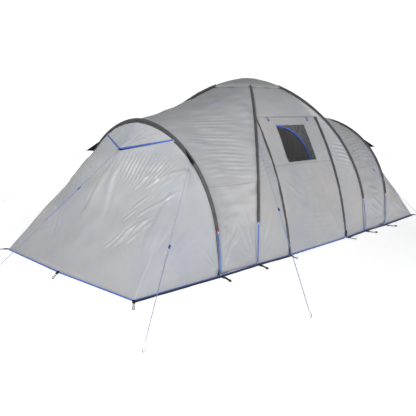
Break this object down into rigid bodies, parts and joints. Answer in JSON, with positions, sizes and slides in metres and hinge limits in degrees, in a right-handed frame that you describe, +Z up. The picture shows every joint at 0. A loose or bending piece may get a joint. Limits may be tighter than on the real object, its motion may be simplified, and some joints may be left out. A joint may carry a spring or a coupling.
{
  "type": "tunnel dome tent",
  "caption": "Free-standing family tent: a dome on crossed poles, a sleeping tunnel with an end arch on each side, side door with window, two hung cabins, guy lines and pegs.",
  "frame": {"origin": "centre of the pitched tent on the ground, guy lines and their pegs left out", "axes": "+X along the tent, +Y from the door to the back, +Z up"},
  "size_m": [7.2787, 4.341, 2.004],
  "materials": {
    "fly_fabric": "silver-grey coated polyester, plain weave, soft sheen",
    "cap_fabric": "grey coated polyester",
    "sleeve_fabric": "dark grey woven polyester",
    "blue_tape": "woven blue binding tape",
    "webbing": "black polypropylene webbing",
    "groundsheet": "black woven polyethylene sheet",
    "mesh": "black insect mesh",
    "cabin_fabric": "dark grey breathable polyester",
    "pole": "blue glass fibre rod with steel ferrules",
    "end_band": "colour-coded webbing, blue on the dome poles and red on the end arches",
    "steel": "zinc-plated steel wire",
    "black_plastic": "black acetal",
    "blue_plastic": "blue acetal",
    "guy_line": "pale braided cord with blue flecks"
  },
  "bodies": {
    "tent": {"groundsheet": "groundsheet", "dome_front_panel": "fly_fabric", "dome_back_panel": "fly_fabric", "tunnel_panel_left": "fly_fabric", "tunnel_panel_right": "fly_fabric", "end_panel_left": "fly_fabric", "end_panel_right": "fly_fabric", "vent_hood_left": "fly_fabric", "vent_hood_right": "fly_fabric", "vent_mesh_left": "mesh", "vent_mesh_right": "mesh", "roof_cap": "cap_fabric", "hem_binding": "blue_tape", "arch_sleeve_left": "sleeve_fabric", "arch_sleeve_right": "sleeve_fabric", "dome_sleeve_a": "sleeve_fabric", "dome_sleeve_b": "sleeve_fabric", "arch_pole_left": "pole", "arch_pole_right": "pole", "dome_pole_a": "pole", "dome_pole_b": "pole", "sleeve_end_bands": "end_band", "foot_pins": "steel", "foot_straps": "webbing", "strap_buckles": "black_plastic", "hem_loops": "webbing", "hem_pegs": "steel", "guy_tabs": "webbing", "cabin_left": "cabin_fabric", "cabin_right": "cabin_fabric", "cabin_wall_left": "cabin_fabric", "cabin_wall_right": "cabin_fabric", "cabin_piping_left": "blue_tape", "cabin_piping_right": "blue_tape", "guy_hood_left": "guy_line", "guy_arch_near_left": "guy_line", "guy_arch_far_left": "guy_line", "guy_dome_near_left": "guy_line", "guy_dome_near_right": "guy_line", "guy_arch_near_right": "guy_line", "guy_pegs": "steel"},
    "door": {"door_panel": "fly_fabric", "door_window": "mesh", "door_hem_binding": "blue_tape", "door_flap_left": "sleeve_fabric", "door_flap_right": "sleeve_fabric"},
    "zip_slider_left": {"zip_slider_left": "black_plastic"},
    "zip_slider_right": {"zip_slider_right": "black_plastic"},
    "toggle_left": {"door_toggle_left": "blue_plastic"},
    "toggle_right": {"door_toggle_right": "blue_plastic"},
    "cabin_door_left": {"cabin_door_left": "cabin_fabric"},
    "cabin_door_right": {"cabin_door_right": "cabin_fabric"},
    "runner_hood_left": {"runner_hood_left": "blue_plastic"},
    "runner_arch_near_left": {"runner_arch_near_left": "blue_plastic"},
    "runner_arch_far_left": {"runner_arch_far_left": "blue_plastic"},
    "runner_dome_near_left": {"runner_dome_near_left": "blue_plastic"},
    "runner_dome_near_right": {"runner_dome_near_right": "blue_plastic"},
    "runner_arch_near_right": {"runner_arch_near_right": "blue_plastic"}
  },
  "joints": [
    {"name": "door_lift", "type": "hinge", "parent": "tent", "child": "door", "pos_m": [0, -0.6316, 1.531], "axis": [-1, 0, 0], "range_deg": [0, 80]},
    {"name": "zip_left", "type": "hinge", "parent": "tent", "child": "zip_slider_left", "pos_m": [-0.615, 2.319, -0.443], "axis": [-1, 0, 0], "range_deg": [0, 24]},
    {"name": "zip_right", "type": "hinge", "parent": "tent", "child": "zip_slider_right", "pos_m": [0.615, 2.319, -0.443], "axis": [-1, 0, 0], "range_deg": [0, 24]},
    {"name": "toggle_left_swing", "type": "hinge", "parent": "door", "child": "toggle_left", "pos_m": [-0.401, -0.6547, 1.5245], "axis": [-1, 0, 0], "range_deg": [0, 110]},
    {"name": "toggle_right_swing", "type": "hinge", "parent": "door", "child": "toggle_right", "pos_m": [0.401, -0.6547, 1.5245], "axis": [-1, 0, 0], "range_deg": [0, 110]},
    {"name": "cabin_door_left_swing", "type": "hinge", "parent": "tent", "child": "cabin_door_left", "pos_m": [-1.149, 0.705, 0.15], "axis": [0, 0, 1], "range_deg": [0, 85]},
    {"name": "cabin_door_right_swing", "type": "hinge", "parent": "tent", "child": "cabin_door_right", "pos_m": [1.149, 0.705, 0.15], "axis": [0, 0, -1], "range_deg": [0, 85]},
    {"name": "runner_hood_left_slide", "type": "slide", "parent": "tent", "child": "runner_hood_left", "axis": [0.8059, 0, 0.5921], "range_m": [0, 0.3]},
    {"name": "runner_arch_near_left_slide", "type": "slide", "parent": "tent", "child": "runner_arch_near_left", "axis": [0.6909, 0.502, 0.5202], "range_m": [0, 0.3]},
    {"name": "runner_arch_far_left_slide", "type": "slide", "parent": "tent", "child": "runner_arch_far_left", "axis": [0.6909, -0.502, 0.5202], "range_m": [0, 0.3]},
    {"name": "runner_dome_near_left_slide", "type": "slide", "parent": "tent", "child": "runner_dome_near_left", "axis": [0.498, 0.6609, 0.5614], "range_m": [0, 0.3]},
    {"name": "runner_dome_near_right_slide", "type": "slide", "parent": "tent", "child": "runner_dome_near_right", "axis": [-0.6844, 0.3633, 0.6321], "range_m": [0, 0.3]},
    {"name": "runner_arch_near_right_slide", "type": "slide", "parent": "tent", "child": "runner_arch_near_right", "axis": [-0.8227, 0.2275, 0.521], "range_m": [0, 0.3]}
  ]
}
